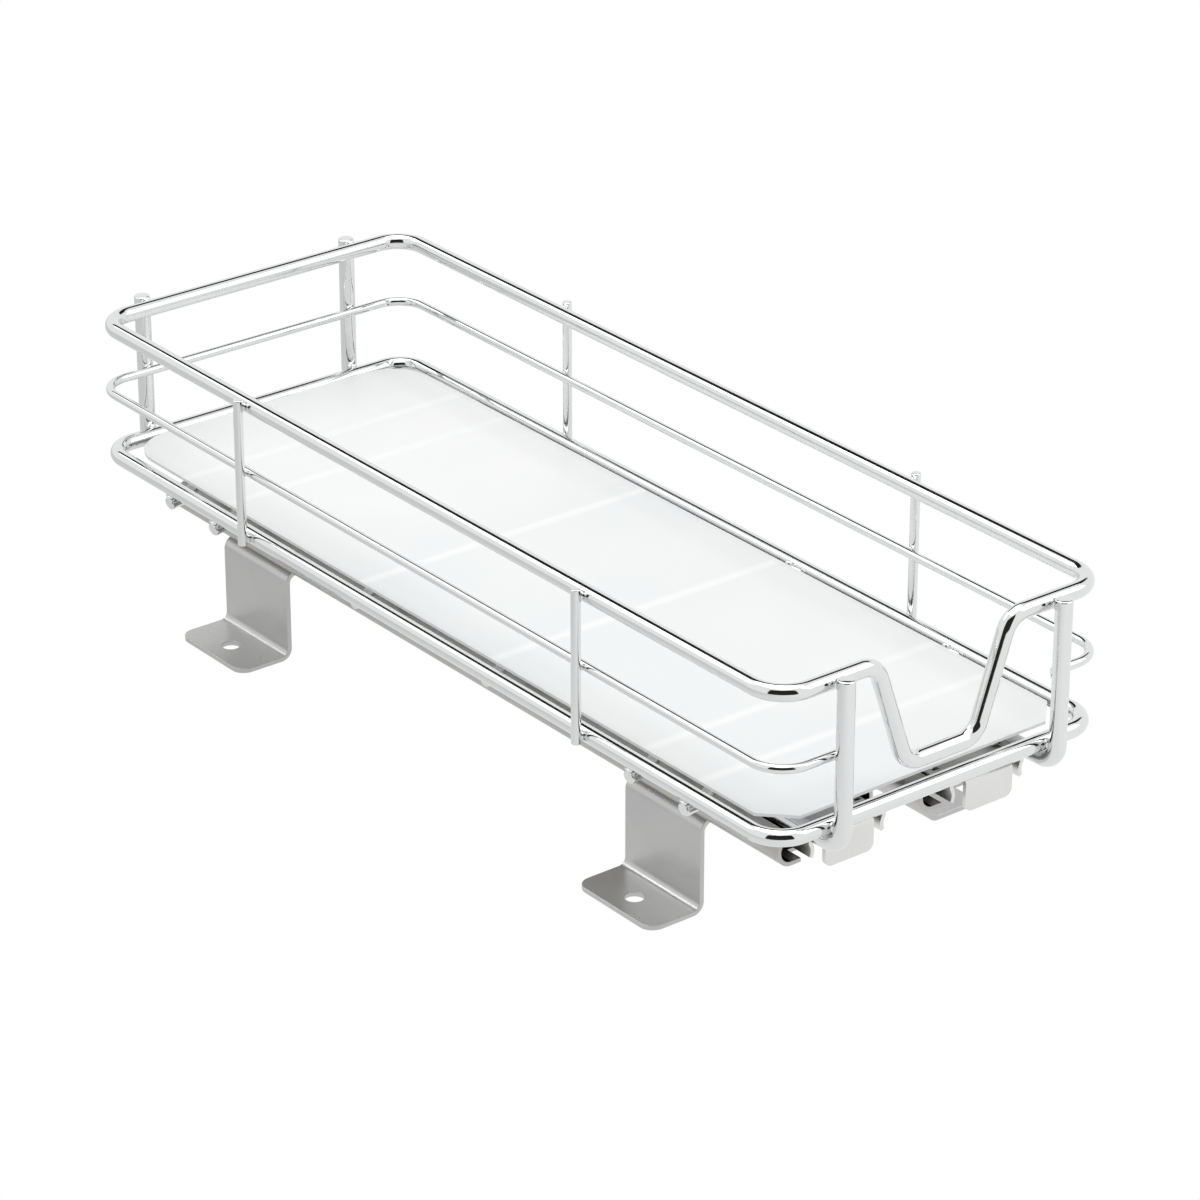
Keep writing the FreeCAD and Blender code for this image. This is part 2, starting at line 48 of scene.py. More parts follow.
def paint(hex_code):
    """An sRGB hex colour as linear red, green, blue, alpha."""
    parts = [int(hex_code[i:i + 2], 16) / 255 for i in (0, 2, 4)]
    return [c / 12.92 if c <= 0.04045 else ((c + 0.055) / 1.055) ** 2.4 for c in parts] + [1.0]


def add_node(material, kind, settings=None, **inputs):
    """Adds one shader node, sets its properties, and fills or links its inputs.

    An input goes by its name, with _ for a space, or by its number, as i0 or i1.
    """
    node = material.node_tree.nodes.new(kind)
    for name, value in (settings or {}).items():
        setattr(node, name, value)
    for name, value in inputs.items():
        by_number = name[0] == "i" and name[1:].isdigit()
        socket = node.inputs[int(name[1:]) if by_number else name.replace("_", " ")]
        if isinstance(value, bpy.types.NodeSocket):
            material.node_tree.links.new(value, socket)
        else:
            socket.default_value = value
    return node


def new_material(name):
    """An empty material with only its output node, which is returned too."""
    material = bpy.data.materials.new(name)
    material.use_nodes = True
    material.node_tree.nodes.clear()
    output = material.node_tree.nodes.new("ShaderNodeOutputMaterial")
    return material, output


def shade(material, output, shader):
    """Makes a shader the material's surface."""
    material.node_tree.links.new(shader.outputs[0], output.inputs["Surface"])


def satin_nickel():
    """Satin plate on cold-rolled sheet, which shows its surroundings blurred.

    Faint rolling lines lie about 0.3 mm apart, and the polish varies in soft clouds 10 to 20 mm
    across. The scale of a noise is its cells for each metre, in this material and the others.
    """
    m, out = new_material("satin_nickel_plate")
    place = add_node(m, "ShaderNodeTexCoord").outputs["Object"]
    rolled = add_node(m, "ShaderNodeMapping", Vector=place,
                      Scale=(3200.0, 3200.0, 260.0)).outputs[0]
    grain = add_node(m, "ShaderNodeTexNoise", Vector=rolled, Scale=1.0, Detail=3.0).outputs["Fac"]
    cloud = add_node(m, "ShaderNodeTexNoise", Vector=place, Scale=85.0, Detail=3.0).outputs["Fac"]
    tint = add_node(m, "ShaderNodeMix", {"data_type": "RGBA"}, Factor=cloud,
                    A=paint("bababa"), B=paint("c9c9c8")).outputs["Result"]
    rough = add_node(m, "ShaderNodeMapRange", Value=cloud, From_Min=0.3, From_Max=0.7,
                     To_Min=0.26, To_Max=0.33).outputs[0]
    bump = add_node(m, "ShaderNodeBump", Height=grain, Strength=0.22, Distance=0.00006).outputs[0]
    skin = add_node(m, "ShaderNodeBsdfPrincipled", Base_Color=tint, Metallic=1.0,
                    Roughness=rough, Normal=bump)
    shade(m, out, skin)
    return m


def rounded_copy(node, body, material, edge):
    """A CAD sheet piece, its loose triangles merged and its cut edges rounded over by edge mm."""
    mesh = nodes[node].data.copy()
    piece = bpy.data.objects.new(node + "_finished", mesh)
    scene.collection.objects.link(piece)
    mesh.materials.clear()
    mesh.materials.append(material)
    if mesh.has_custom_normals:
        mesh.attributes.remove(mesh.attributes["custom_normal"])
    work = bmesh.new()
    work.from_mesh(mesh)
    bmesh.ops.remove_doubles(work, verts=work.verts, dist=1e-6)
    bmesh.ops.dissolve_limit(work, angle_limit=math.radians(0.5), verts=work.verts,
                             edges=work.edges)
    work.to_mesh(mesh)
    work.free()
    mesh.shade_smooth()
    bevel = piece.modifiers.new("edges", "BEVEL")
    bevel.width = edge * MM
    bevel.segments = 2
    bevel.limit_method = "ANGLE"
    bevel.angle_limit = math.radians(40)
    bevel.harden_normals = True
    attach(piece, body)
    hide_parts(node)
    return piece


satin_nickel_plate = satin_nickel()
for side in ("left", "right"):
    for end in ("front", "rear"):
        name = side + "_" + end + "_bracket"
        rounded_copy(name, "mounting", satin_nickel_plate, edge=0.25)


# The slides are rolled from zinc-plated steel strip: a fixed channel with its mouth up, and the
# moving member that is welded under the basket. Plating leaves a soft grey sheen, and the races
# that the balls run in are greased. Their near-black is grease and painted shade, since they lie
# in the hollows of the slides.

def plated_steel(name, dull, bright):
    """Zinc plate on rolled strip, in a cloudy tone from dull to bright.

    Fine lines about 0.3 mm apart run along the slide, and the clouds are about 17 mm across.
    """
    m, out = new_material(name)
    place = add_node(m, "ShaderNodeTexCoord").outputs["Object"]
    along = add_node(m, "ShaderNodeMapping", Vector=place, Scale=(3000.0, 40.0, 3000.0)).outputs[0]
    lines = add_node(m, "ShaderNodeTexNoise", Vector=along, Scale=1.0, Detail=2.0).outputs["Fac"]
    cloud = add_node(m, "ShaderNodeTexNoise", Vector=place, Scale=60.0, Detail=3.0).outputs["Fac"]
    tint = add_node(m, "ShaderNodeMix", {"data_type": "RGBA"}, Factor=cloud,
                    A=paint(dull), B=paint(bright)).outputs["Result"]
    rough = add_node(m, "ShaderNodeMapRange", Value=lines, To_Min=0.3, To_Max=0.42).outputs[0]
    bump = add_node(m, "ShaderNodeBump", Height=lines, Strength=0.04, Distance=0.0001).outputs[0]
    skin = add_node(m, "ShaderNodeBsdfPrincipled", Base_Color=tint, Metallic=1.0,
                    Roughness=rough, Normal=bump)
    shade(m, out, skin)
    return m


def greased_and_shaded_steel(name, bare_to):
    """The races inside the slides: plate under a brown-black greasy film, which is partly
    painted shade in these hollows.

    The film starts within 1 mm of y = bare_to, where the balls push it up thick. From 8 to 40 mm
    behind that it turns streaked, wiped thin in lines about 0.7 mm apart. Its cover is the film
    less what is wiped off, from 0 to 1.
    """
    m, out = new_material(name)
    place = add_node(m, "ShaderNodeTexCoord").outputs["Object"]
    y = add_node(m, "ShaderNodeSeparateXYZ", Vector=place).outputs["Y"]
    smear = add_node(m, "ShaderNodeTexNoise", Vector=place, Scale=400.0, Detail=3.0).outputs["Fac"]
    film = add_node(m, "ShaderNodeMapRange", {"interpolation_type": "SMOOTHSTEP"}, Value=y,
                    From_Min=(bare_to - 1) * MM, From_Max=(bare_to + 1) * MM).outputs[0]
    along = add_node(m, "ShaderNodeMapping", Vector=place, Scale=(1500.0, 45.0, 1500.0)).outputs[0]
    streaks = add_node(m, "ShaderNodeTexNoise", Vector=along, Scale=1.0, Detail=3.0).outputs["Fac"]
    behind = add_node(m, "ShaderNodeMapRange", {"interpolation_type": "SMOOTHSTEP"}, Value=y,
                      From_Min=(bare_to + 8) * MM, From_Max=(bare_to + 40) * MM).outputs[0]
    wiped = add_node(m, "ShaderNodeMapRange", Value=streaks, From_Min=0.3, From_Max=0.7,
                     To_Min=0.04, To_Max=0.34).outputs[0]
    thin = add_node(m, "ShaderNodeMath", {"operation": "MULTIPLY"}, i0=behind, i1=wiped).outputs[0]
    cover = add_node(m, "ShaderNodeMath", {"operation": "SUBTRACT", "use_clamp": True},
                     i0=film, i1=thin).outputs[0]
    # The near-black end of this tint is grease and painted shade.
    tint = add_node(m, "ShaderNodeMix", {"data_type": "RGBA"}, Factor=cover,
                    A=paint("efefed"), B=paint("131211")).outputs["Result"]
    rough = add_node(m, "ShaderNodeMapRange", Value=smear, To_Min=0.4, To_Max=0.6).outputs[0]
    skin = add_node(m, "ShaderNodeBsdfPrincipled", Base_Color=tint, Metallic=1.0, Roughness=rough)
    shade(m, out, skin)
    return m


slide_x = 20.25                 # from the rack's middle to a slide's
line_x, line_z = 13.17, 27.03   # from a slide's middle to a line of balls, and its height


def grease_and_shade(piece, centre_x, race):
    """Gives the race material, of greased plate and painted shade, to the faces that look at a
    line of balls from close by.

    The balls run along y, so only x and z count. A face looks at them where its centre is under
    4 mm away and the cosine between its normal and the way to them is over 0.4.
    """
    near, facing = 4.0 * MM, 0.4
    mesh = piece.data
    mesh.materials.append(race)
    count = len(mesh.polygons)
    centres, normals = np.empty(count * 3), np.empty(count * 3)
    mesh.polygons.foreach_get("center", centres)
    mesh.polygons.foreach_get("normal", normals)
    centres, normals = centres.reshape(-1, 3)[:, ::2], normals.reshape(-1, 3)[:, ::2]
    slots = np.zeros(count, np.int32)
    for hand in (-1, 1):
        toward = np.array([centre_x + hand * line_x, line_z]) * MM - centres
        away = np.linalg.norm(toward, axis=1)
        # These faces get the grease and painted shade of the race.
        slots[(away < near) & ((toward * normals).sum(1) > facing * away)] = 1
    mesh.polygons.foreach_set("material_index", slots)


bright_zinc_plate = plated_steel("bright_zinc_plate", "dadad8", "ebebe9")
# The channels' darker copy of the plate is painted shade, as they lie under the basket.
shaded_zinc_plate = plated_steel("shaded_zinc_plate", "b2b1ad", "c6c5c1")
channel_race = greased_and_shaded_steel("greased_and_shaded_channel_race", bare_to=-122.0)
inner_race = greased_and_shaded_steel("greased_and_shaded_inner_race", bare_to=-116.0)
for side, centre_x in (("left", -slide_x), ("right", slide_x)):
    channel = rounded_copy(side + "_slide_channel", "mounting", shaded_zinc_plate, edge=0.12)
    grease_and_shade(channel, centre_x, channel_race)
    inner = rounded_copy(side + "_slide_inner", "basket", bright_zinc_plate, edge=0.12)
    grease_and_shade(inner, centre_x, inner_race)


# The ball cages are thin strips punched from the same plated steel. Each spaces the balls of its
# slide, and moves with them at half the basket's travel.

for side in ("left", "right"):
    nodes[side + "_ball_cage"].data.materials[0] = bright_zinc_plate


# Fourteen hardened steel balls run in each slide, ground and tumbled bright. The rivets that hold
# the channels on the brackets are bright steel too, with their heads set cold.

def bright_steel():
    """Polished steel with a few faint scuffs, about 1 mm across."""
    m, out = new_material("tumbled_steel")
    place = add_node(m, "ShaderNodeTexCoord").outputs["Object"]
    scuff = add_node(m, "ShaderNodeTexNoise", Vector=place, Scale=900.0, Detail=3.0).outputs["Fac"]
    rough = add_node(m, "ShaderNodeMapRange", Value=scuff, To_Min=0.12, To_Max=0.26).outputs[0]
    skin = add_node(m, "ShaderNodeBsdfPrincipled", Base_Color=paint("c9c9cb"), Metallic=1.0,
                    Roughness=rough)
    shade(m, out, skin)
    return m


tumbled_steel = bright_steel()
for name in ("left_balls", "right_balls", "bracket_rivets"):
    nodes[name].data.materials[0] = tumbled_steel


# The rear bumpers are moulded in black rubber. Each has a stem that is pushed through a hole in
# the back end of its channel, and a wider foot that holds it there.

def black_rubber():
    """Matt moulded rubber with a dusty grain, about 0.7 mm across."""
    m, out = new_material("moulded_rubber")
    place = add_node(m, "ShaderNodeTexCoord").outputs["Object"]
    grain = add_node(m, "ShaderNodeTexNoise", Vector=place, Scale=1500.0, Detail=3.0).outputs["Fac"]
    tint = add_node(m, "ShaderNodeMix", {"data_type": "RGBA"}, Factor=grain,
                    A=paint("1b1b1c"), B=paint("2a2a2b")).outputs["Result"]
    bump = add_node(m, "ShaderNodeBump", Height=grain, Strength=0.2, Distance=0.0001).outputs[0]
    skin = add_node(m, "ShaderNodeBsdfPrincipled", Base_Color=tint, Roughness=0.75, Normal=bump)
    shade(m, out, skin)
    return m


moulded_rubber = black_rubber()
for side in ("left", "right"):
    nodes[side + "_slide_bumper"].data.materials[0] = moulded_rubber


# The basket is bent from round steel wire, spot welded and then chrome plated as one piece. The
# rails are closed rings; the top one dips at the front to a straight bar, the handle.

def chrome_plate():
    """Bright decorative chrome over drawn wire: a mirror polish.

    A very faint ripple about 4.5 mm long bends what it shows, and a haze under 1 mm across blurs
    it a little.
    """
    m, out = new_material("bright_chrome")
    place = add_node(m, "ShaderNodeTexCoord").outputs["Object"]
    ripple = add_node(m, "ShaderNodeTexNoise", Vector=place, Scale=220.0, Detail=2.0).outputs["Fac"]
    haze = add_node(m, "ShaderNodeTexNoise", Vector=place, Scale=1200.0, Detail=3.0).outputs["Fac"]
    rough = add_node(m, "ShaderNodeMapRange", Value=haze, To_Min=0.05, To_Max=0.09).outputs[0]
    bump = add_node(m, "ShaderNodeBump", Height=ripple, Strength=0.02, Distance=0.0003).outputs[0]
    skin = add_node(m, "ShaderNodeBsdfPrincipled", Base_Color=paint("e0e1e1"), Metallic=1.0,
                    Roughness=rough, Normal=bump)
    shade(m, out, skin)
    return m


def unit(vectors):
    """Each vector divided by its length."""
    return vectors / np.linalg.norm(vectors, axis=-1, keepdims=True)


def route(points, radii, steps=22):
    """Points in mm joined by straight runs, with a tangent arc of the given radius at each corner.

    An arc starts r tan(turn / 2) before its corner and is start + r sin(a) ahead + r (1 - cos(a))
    inward, for a from 0 to the turn.
    """
    corners = np.array(points, float) * MM
    parts = []
    for i, radius in enumerate(radii):
        if radius == 0:
            parts.append(corners[i:i + 1])
            continue
        r = radius * MM
        ahead = unit(corners[i] - corners[i - 1])
        after = unit(corners[(i + 1) % len(corners)] - corners[i])
        turn = math.acos(float(ahead @ after))
        inward = unit(after - ahead * math.cos(turn))
        a = np.linspace(0, turn, steps)[:, None]
        start = corners[i] - ahead * r * math.tan(turn / 2)
        parts.append(start + r * np.sin(a) * ahead + r * (1 - np.cos(a)) * inward)
    return np.concatenate(parts)


def solid_piece(name, points, faces, material):
    """Puts points and faces into a new piece, turned outwards, smooth but sharp at cut edges."""
    mesh = bpy.data.meshes.new(name)
    mesh.from_pydata(points.tolist(), [], faces)
    mesh.materials.append(material)
    work = bmesh.new()
    work.from_mesh(mesh)
    bmesh.ops.recalc_face_normals(work, faces=work.faces)
    work.to_mesh(mesh)
    work.free()
    mesh.shade_smooth()
    mesh.set_sharp_from_angle(angle=math.radians(32))
    piece = bpy.data.objects.new(name, mesh)
    scene.collection.objects.link(piece)
    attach(piece, "basket")
    return piece


def wire(name, path, across, radius, closed=False, rim=0.35, stretch=None, sides=28):
    """A round section carried along a path: path + radius (cos(b) side + sin(b) up).

    side is across made square to the path, and up is square to both. stretch, where given, is two
    rows of factors for side and up along the path. An open wire's ends are capped and their rims
    rounded: for q from 0 to 90 degrees, the section lies rim (1 - cos(q)) in from the end, and its
    radius is smaller by rim (1 - sin(q)).
    """
    swell = np.ones((2, len(path))) if stretch is None else stretch
    if closed:
        ahead = np.roll(path, -1, 0) - np.roll(path, 1, 0)
    else:
        q = np.linspace(0, np.pi / 2, 6)
        inset, trim = (1 - np.cos(q)) * rim * MM, 1 - (1 - np.sin(q)) * rim / radius
        head = path[:1] + inset[:, None] * unit(path[1] - path[0])
        tail = path[-1:] + inset[::-1, None] * unit(path[-2] - path[-1])
        path = np.concatenate([head, path[1:-1], tail])
        swell = np.concatenate([swell[:, :1] * trim, swell[:, 1:-1], swell[:, -1:] * trim[::-1]], 1)
        ahead = np.gradient(path, axis=0)
    ahead = unit(ahead)
    across = np.array(across, float)
    side = unit(across - (ahead @ across)[:, None] * ahead)
    up = np.cross(ahead, side)
    b = np.linspace(0, 2 * np.pi, sides, endpoint=False)[None, :, None]
    reach = radius * MM * swell[:, :, None, None]
    rings = (path[:, None] + reach[0] * np.cos(b) * side[:, None]
             + reach[1] * np.sin(b) * up[:, None])
    count = len(path)
    row, column = np.meshgrid(np.arange(count if closed else count - 1), np.arange(sides),
                              indexing="ij")
    here, there = row * sides, (row + 1) % count * sides
    following = (column + 1) % sides
    quads = np.stack([here + column, here + following, there + following, there + column], -1)
    faces = quads.reshape(-1, 4).tolist()
    if not closed:
        around = np.arange(sides)
        faces.append(around[::-1].tolist())
        faces.append(((count - 1) * sides + around).tolist())
    return solid_piece(name, rings.reshape(-1, 3), faces, bright_chrome)


def chromed(piece, node):
    """Lets a finished wire stand for its CAD node, which it hides."""
    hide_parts(node)


bright_chrome = chrome_plate()
rail_x, rail_y, rail_r = 46.0, 129.5, 2.0
top_z, low_z, bar_z = 71.0, 36.7, 44.4
dip_x, bar_x = 19.1, 10.0
top_bend, low_bend, dip_bend = 8.0, 7.5, 5.5
plan = [(-rail_x, -rail_y), (-rail_x, rail_y), (rail_x, rail_y), (rail_x, -rail_y)]
dip = [(dip_x, -rail_y, top_z), (bar_x, -rail_y, bar_z), (-bar_x, -rail_y, bar_z),
       (-dip_x, -rail_y, top_z)]
top_path = route(dip + [(x, y, top_z) for x, y in plan], [dip_bend] * 4 + [top_bend] * 4)
low_path = route([(x, y, low_z) for x, y in plan], [low_bend] * 4)
chromed(wire("top_ring", top_path, (0, 0, 1), rail_r, closed=True, sides=36), "top_rail")
chromed(wire("bottom_ring", low_path, (0, 0, 1), rail_r, closed=True, sides=36), "bottom_rail")


# The guard wire is thinner. It runs round the back and sides at half height, inside the posts and
# uprights, and its two ends are welded behind the front posts.

guard_x, guard_y, guard_z, guard_r, guard_bend = 46.9, 130.67, 53.8, 1.1, 8.0
left_end, right_end = -30.3, 31.5
plan = [(left_end, -guard_y), (-guard_x, -guard_y), (-guard_x, guard_y), (guard_x, guard_y),
        (guard_x, -guard_y), (right_end, -guard_y)]
guard_path = route([(x, y, guard_z) for x, y in plan], [0] + [guard_bend] * 4 + [0])
chromed(wire("guard_wire", guard_path, (0, 0, 1), guard_r, rim=0.2), "middle_rail")


# Four short rods stand outside the rails and tie both rings and the guard wire together. They are
# cropped from straight wire, and their cut ends are rounded in tumbling.

rod_x, rod_y, rod_r = 49.18, 65.0, 1.15
rod_foot, rod_top = 35.2, 73.1
for side, x in (("left", -rod_x), ("right", rod_x)):
    for end, y in (("front", -rod_y), ("rear", rod_y)):
        rod = route([(x, y, rod_foot), (x, y, rod_top)], [0, 0])
        chromed(wire(side + "_" + end + "_rod", rod, (1, 0, 0), rod_r, rim=0.3),
                side + "_" + end + "_upright")


# Two long wires lie on the slides under the floor and turn up into the front and rear posts, which
# are welded to the outside of both rings. They carry the whole basket.

post_x, post_y, post_top, post_bend = 31.0, 133.8, 72.9, 5.0
runner_z = 32.4
for side, x in (("left", -post_x), ("right", post_x)):
    post = route([(x, -post_y, post_top), (x, -post_y, runner_z), (x, post_y, runner_z),
                  (x, post_y, post_top)], [0, post_bend, post_bend, 0])
    chromed(wire(side + "_post_wire", post, (1, 0, 0), rail_r, rim=0.4, sides=36),
            side + "_runner_wire")


# Six floor wires cross over the two long ones and are joggled down under the side rails. The
# welder has squeezed the outer four's ends wide there. The middle pair stops short of the rails'
# centrelines.

def squeezed(path, start=43.0, end=47.2, wide=0.22, high=0.04):
    """Stretch of a floor wire's section, 1 inside and more towards its cut end.

    With s = smoothstep of |x| from start to end, the width is 1 + wide s and the height
    1 + high s.
    """
    s = np.clip((np.abs(path[:, 0]) / MM - start) / (end - start), 0, 1)
    s = s * s * (3 - 2 * s)
    return np.stack([1 + wide * s, 1 + high * s])


floor_wire_r = 1.5
floor_wire_y = (-100.0, -81.0, -25.5, 25.5, 81.0, 100.0)
middle_pair = floor_wire_y[2:4]
middle_end = [(44.8, 33.56), (43.0, 33.56)]
outer_end = [(47.2, 32.72), (46.4, 32.85), (45.4, 32.97), (44.4, 32.97), (43.0, 32.97)]
joggle_top, joggle_bend = (38.5, 35.93), 3.0
for number, y in enumerate(floor_wire_y, 1):
    cut_end = middle_end if y in middle_pair else outer_end
    half = [(x, y, z) for x, z in cut_end + [joggle_top]]
    bends = [0] * (len(cut_end) - 1) + [joggle_bend] * 2
    path = route(half + [(-x, y, z) for x, y, z in reversed(half)], bends + bends[::-1], steps=12)
    chromed(wire("floor_wire_%d" % number, path, (0, 1, 0), floor_wire_r, rim=0.3,
                 stretch=squeezed(path)), "cross_wire_%d" % number)


# Each crossing is resistance welded, which leaves a small smooth lump of upset steel between the
# wires. The plating covers it. At the right the welds of the second and third floor wires have
# spattered forward, into the gap beside the liner.

def lumps(places, sizes, rings=11, sides=24):
    """Ellipsoids: place + size (sin(a) cos(b), sin(a) sin(b), cos(a)), closed by their poles."""
    a = np.linspace(0, np.pi, rings + 2)[1:-1, None]
    b = np.linspace(0, 2 * np.pi, sides, endpoint=False)[None]
    lump = np.stack([np.sin(a) * np.cos(b), np.sin(a) * np.sin(b), np.cos(a) + 0 * b], -1)
    lump = np.concatenate([lump.reshape(-1, 3), [[0, 0, 1], [0, 0, -1]]])
    row, column = np.meshgrid(np.arange(rings - 1), np.arange(sides), indexing="ij")
    following = (column + 1) % sides
    low, high = row * sides, (row + 1) * sides
    quads = np.stack([low + column, high + column, high + following, low + following], -1)
    turn = np.arange(sides)
    top = np.stack([np.full(sides, rings * sides), turn, (turn + 1) % sides], -1)
    last = (rings - 1) * sides
    foot = np.stack([np.full(sides, rings * sides + 1), last + (turn + 1) % sides, last + turn], -1)
    places, sizes = np.array(places) * MM, np.array(sizes) * MM
    points = (places[:, None] + sizes[:, None] * lump[None]).reshape(-1, 3)
    offsets = np.arange(len(places))[:, None, None] * len(lump)
    faces = []
    for part in (quads.reshape(-1, 4), top, foot):
        faces += (part[None] + offsets).reshape(-1, part.shape[1]).tolist()
    return points, faces


runner_weld_z, rail_weld_z, slide_weld_z = 34.42, 34.66, 30.40
middle_weld_x, middle_weld_z = 44.95, 34.95
slide_weld_y = (-112.0, -62.0, -10.0, 42.0, 92.0)
rod_weld_x, post_weld_y, guard_weld_y = 48.02, 131.66, 131.8
welds = []
for hand in (-1, 1):
    for y in floor_wire_y:
        welds.append(((hand * post_x, y, runner_weld_z), (1.7, 1.5, 0.55)))
        if y in middle_pair:
            welds.append(((hand * middle_weld_x, y, middle_weld_z), (0.9, 1.4, 0.5)))
        else:
            welds.append(((hand * rail_x, y, rail_weld_z), (1.6, 2.0, 0.6)))
    for end in (-1, 1):
        for z in (low_z, top_z):
            welds.append(((hand * rod_weld_x, end * rod_y, z), (0.45, 1.0, 1.3)))
            welds.append(((hand * post_x, end * post_weld_y, z + 0.2), (1.5, 0.5, 1.7)))
        welds.append(((hand * rod_weld_x, end * rod_y, guard_z), (0.4, 0.9, 0.9)))
        welds.append(((hand * post_x, end * guard_weld_y, guard_z), (1.2, 0.4, 0.9)))
    for y in slide_weld_y:
        welds.append(((hand * post_x, y, slide_weld_z), (0.9, 3.0, 0.45)))
spatter_x = 43.3
for y in floor_wire_y[1:3]:
    welds.append(((spatter_x, y - 2.2, 37.8), (0.75, 0.9, 0.9)))
    welds.append(((spatter_x, y - 4.6, 37.4), (0.7, 2.1, 0.7)))
weld_beads = solid_piece("weld_beads", *lumps(*zip(*welds)), bright_chrome)


# The floor liner is a frosted plastic sheet laid on the floor wires and lifted out for washing. Its
# underside rests on them, and slightly paler bands are painted over them for the wires seen
# through it. A faint painted glow stands for light coming through it.

def frosted_sheet():
    """Frosted polypropylene: milky, slightly blue, with a fine emboss about 0.7 mm across.

    Over a floor wire it has a paler band, painted for the wire seen through the sheet: 1 where
    |y - wire| is under 0.2 mm, falling smoothly to 0 at 2.2 mm. A faint painted glow, an emission,
    stands for the light that comes through the thin sheet from below.
    """
    m, out = new_material("frosted_polypropylene")
    place = add_node(m, "ShaderNodeTexCoord").outputs["Object"]
    y = add_node(m, "ShaderNodeSeparateXYZ", Vector=place).outputs["Y"]
    painted_wire_bands = None
    for wire_y in floor_wire_y:
        away = add_node(m, "ShaderNodeMath", {"operation": "SUBTRACT"},
                        i0=y, i1=wire_y * MM).outputs[0]
        away = add_node(m, "ShaderNodeMath", {"operation": "ABSOLUTE"}, i0=away).outputs[0]
        near = add_node(m, "ShaderNodeMapRange", {"interpolation_type": "SMOOTHSTEP"}, Value=away,
                        From_Min=0.2 * MM, From_Max=2.2 * MM, To_Min=1.0, To_Max=0.0).outputs[0]
        if painted_wire_bands is None:
            painted_wire_bands = near
        else:
            painted_wire_bands = add_node(m, "ShaderNodeMath", {"operation": "ADD"},
                             i0=painted_wire_bands, i1=near).outputs[0]
    emboss = add_node(m, "ShaderNodeTexNoise", Vector=place, Scale=1400.0,
                      Detail=2.0).outputs["Fac"]
    cloud = add_node(m, "ShaderNodeTexNoise", Vector=place, Scale=14.0, Detail=2.0).outputs["Fac"]
    milky = add_node(m, "ShaderNodeMix", {"data_type": "RGBA"}, Factor=cloud,
                     A=paint("d6dbde"), B=paint("ebebe8")).outputs["Result"]
    # The paler colour over the wires is a painted show-through of the wires.
    tint = add_node(m, "ShaderNodeMix", {"data_type": "RGBA"}, Factor=painted_wire_bands, A=milky,
                    B=paint("e9eaea")).outputs["Result"]
    bump = add_node(m, "ShaderNodeBump", Height=emboss, Strength=0.03, Distance=0.0001).outputs[0]
    rough = add_node(m, "ShaderNodeMapRange", Value=emboss, To_Min=0.38, To_Max=0.5).outputs[0]
    # The emission is a painted glow for light coming through the sheet from below.
    milk = add_node(m, "ShaderNodeBsdfPrincipled", Base_Color=tint, Roughness=rough, Normal=bump,
                    Emission_Color=(1.0, 1.0, 1.0, 1.0), Emission_Strength=0.12)
    shade(m, out, milk)
    return m


frosted_polypropylene = frosted_sheet()
liner = rounded_copy("floor_liner", "basket", frosted_polypropylene, edge=0.1)


# The studio has a pale matt floor, a plain white world, three soft lights, and two dark cards
# that give the chrome its dark lines.

def studio_surface(name, tone, glow):
    """A matt surface that shows a plain pale tone to the camera, to metal and through glass.

    Metal sees it at a level that rises from glow to 1 over half a metre of x - y, from the back
    left to the front right.
    """
    m, out = new_material(name)
    rays = add_node(m, "ShaderNodeLightPath").outputs
    place = add_node(m, "ShaderNodeTexCoord").outputs["Object"]
    ahead = add_node(m, "ShaderNodeVectorMath", {"operation": "DOT_PRODUCT"},
                     i0=place, i1=(1, -1, 0)).outputs["Value"]
    lit = add_node(m, "ShaderNodeMapRange", Value=ahead, From_Min=-0.25, From_Max=0.25,
                   To_Min=glow, To_Max=1.0).outputs[0]
    seen = add_node(m, "ShaderNodeMath", {"operation": "MAXIMUM"},
                    i0=rays["Is Camera Ray"], i1=rays["Is Transmission Ray"]).outputs[0]
    glossy = add_node(m, "ShaderNodeMath", {"operation": "MULTIPLY"},
                      i0=rays["Is Glossy Ray"], i1=lit).outputs[0]
    level = add_node(m, "ShaderNodeMath", {"operation": "MAXIMUM"}, i0=seen, i1=glossy).outputs[0]
    share = add_node(m, "ShaderNodeMath", {"operation": "MAXIMUM"},
                     i0=seen, i1=rays["Is Glossy Ray"]).outputs[0]
    matt = add_node(m, "ShaderNodeBsdfDiffuse", Color=paint(tone))
    light = add_node(m, "ShaderNodeEmission", Color=(1, 1, 1, 1), Strength=level)
    both = add_node(m, "ShaderNodeMixShader", Fac=share, i1=matt.outputs[0], i2=light.outputs[0])
    shade(m, out, both)
    return m


def flat_panel(name, centre, across, up, material):
    """A flat panel in metres, with its corners at centre, plus or less across, plus or less up."""
    c, a, u = (np.array(v, float) for v in (centre, across, up))
    corners = np.stack([c - a - u, c + a - u, c + a + u, c - a + u])
    mesh = bpy.data.meshes.new(name)
    mesh.from_pydata(corners.tolist(), [], [(0, 1, 2, 3)])
    mesh.materials.append(material)
    panel = bpy.data.objects.new(name, mesh)
    scene.collection.objects.link(panel)
    return panel


def dark_card(name, centre, across, up, tone):
    """A dark felt card that only the metal reflects, as photographers stand beside chrome."""
    m, out = new_material(name + "_felt")
    shade(m, out, add_node(m, "ShaderNodeBsdfDiffuse", Color=paint(tone)))
    card = flat_panel(name, centre, across, up, m)
    card.visible_camera = False
    card.visible_diffuse = False
    card.visible_shadow = False
    card.visible_transmission = False


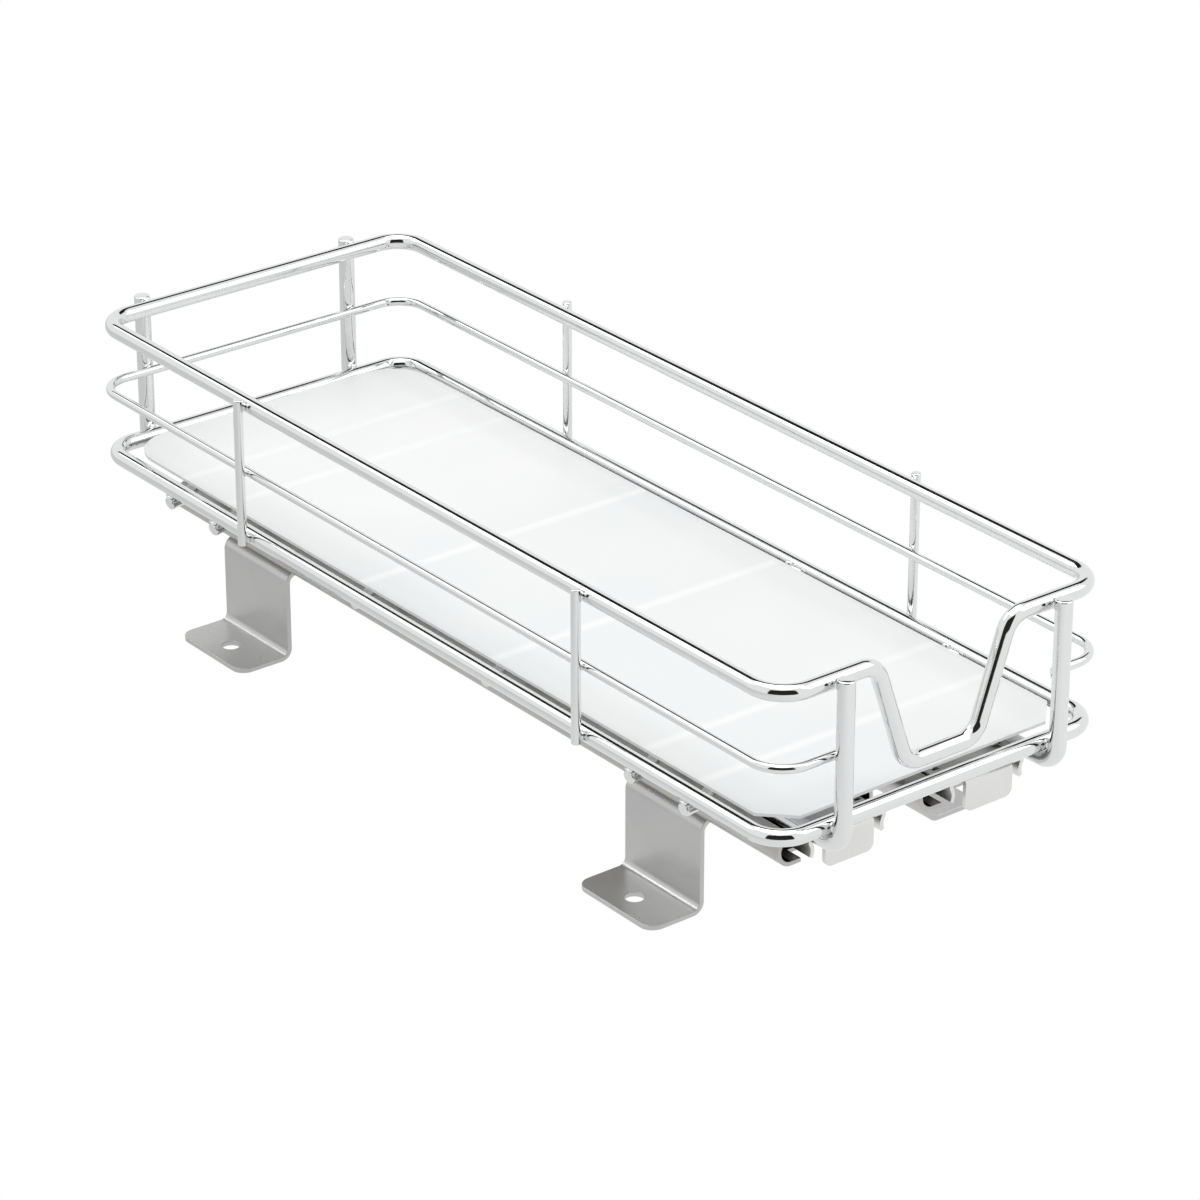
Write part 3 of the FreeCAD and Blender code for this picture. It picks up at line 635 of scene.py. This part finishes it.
def soft_box(name, place, aim, width, height, watts):
    """A rectangular soft light facing the aim point, in metres."""
    data = bpy.data.lights.new(name, "AREA")
    data.shape = "RECTANGLE"
    data.size, data.size_y, data.energy = width, height, watts
    lamp = bpy.data.objects.new(name, data)
    scene.collection.objects.link(lamp)
    lamp.location = place
    lamp.rotation_euler = (Vector(aim) - Vector(place)).to_track_quat("-Z", "Y").to_euler()


pale_floor = studio_surface("pale_floor", "f8f8f8", glow=0.74)
flat_panel("floor", (0, 0, -0.0002), across=(3, 0, 0), up=(0, 3, 0), material=pale_floor)
dark_card("far_card", (0.616, 0.817, 1.097), across=(0.76, -0.57, 0), up=(-0.114, -0.151, 0.178),
          tone="272728")
dark_card("near_card", (-0.98, -1.22, 1.06), across=(0.82, -0.66, 0), up=(0, 0, 1.05),
          tone="32312d")
soft_box("overhead", (0.0, 0.1, 1.5), aim=(0, 0, 0), width=1.25, height=1.7, watts=11.5)
soft_box("left_back", (-0.5, 1.05, 1.15), aim=(0, 0, 0.03), width=0.9, height=0.5, watts=2.4)
soft_box("right_front", (0.85, -0.85, 1.05), aim=(0, 0, 0.03), width=1.0, height=0.9, watts=4.2)

# The world is white to the camera, to metal and through glass, and lights the rest at half that.
world = bpy.data.worlds.new("studio")
scene.world = world
world.use_nodes = True
world.node_tree.nodes.clear()
world_out = world.node_tree.nodes.new("ShaderNodeOutputWorld")
rays = add_node(world, "ShaderNodeLightPath").outputs
seen = add_node(world, "ShaderNodeMath", {"operation": "MAXIMUM"},
                i0=rays["Is Camera Ray"], i1=rays["Is Glossy Ray"]).outputs[0]
seen = add_node(world, "ShaderNodeMath", {"operation": "MAXIMUM"},
                i0=seen, i1=rays["Is Transmission Ray"]).outputs[0]
level = add_node(world, "ShaderNodeMapRange", Value=seen, To_Min=0.5, To_Max=1.0).outputs[0]
sky = add_node(world, "ShaderNodeBackground", Color=(1, 1, 1, 1), Strength=level)
shade(world, world_out, sky)

# The camera stands where the photo's fitted view puts it: back from the middle of the bottom ring,
# and a little to the right and down across the view. Its focal length is in pixels of a 1200 frame.
azimuth, elevation = math.radians(-38.11), math.radians(25.95)
distance, shift_right, shift_down = 1126.6, 6.7, 5.4
focal, frame_width, sensor = 4788, 1200, 36
level_x, level_y = math.sin(azimuth), -math.cos(azimuth)
back = Vector((level_x * math.cos(elevation), level_y * math.cos(elevation), math.sin(elevation)))
right = Vector((math.cos(azimuth), math.sin(azimuth), 0))
upward = back.cross(right)
place = (right * shift_right - upward * shift_down + back * distance + Vector((0, 0, low_z))) * MM
data = bpy.data.cameras.new("camera")
data.lens = focal / frame_width * sensor
data.sensor_width = sensor
data.clip_start, data.clip_end = 0.05, 20
camera = bpy.data.objects.new("camera", data)
scene.collection.objects.link(camera)
turn = Matrix((right, upward, back)).transposed().to_4x4()
camera.matrix_world = Matrix.Translation(place) @ turn
bpy.context.scene.camera = camera
scene.view_settings.view_transform = "Standard"
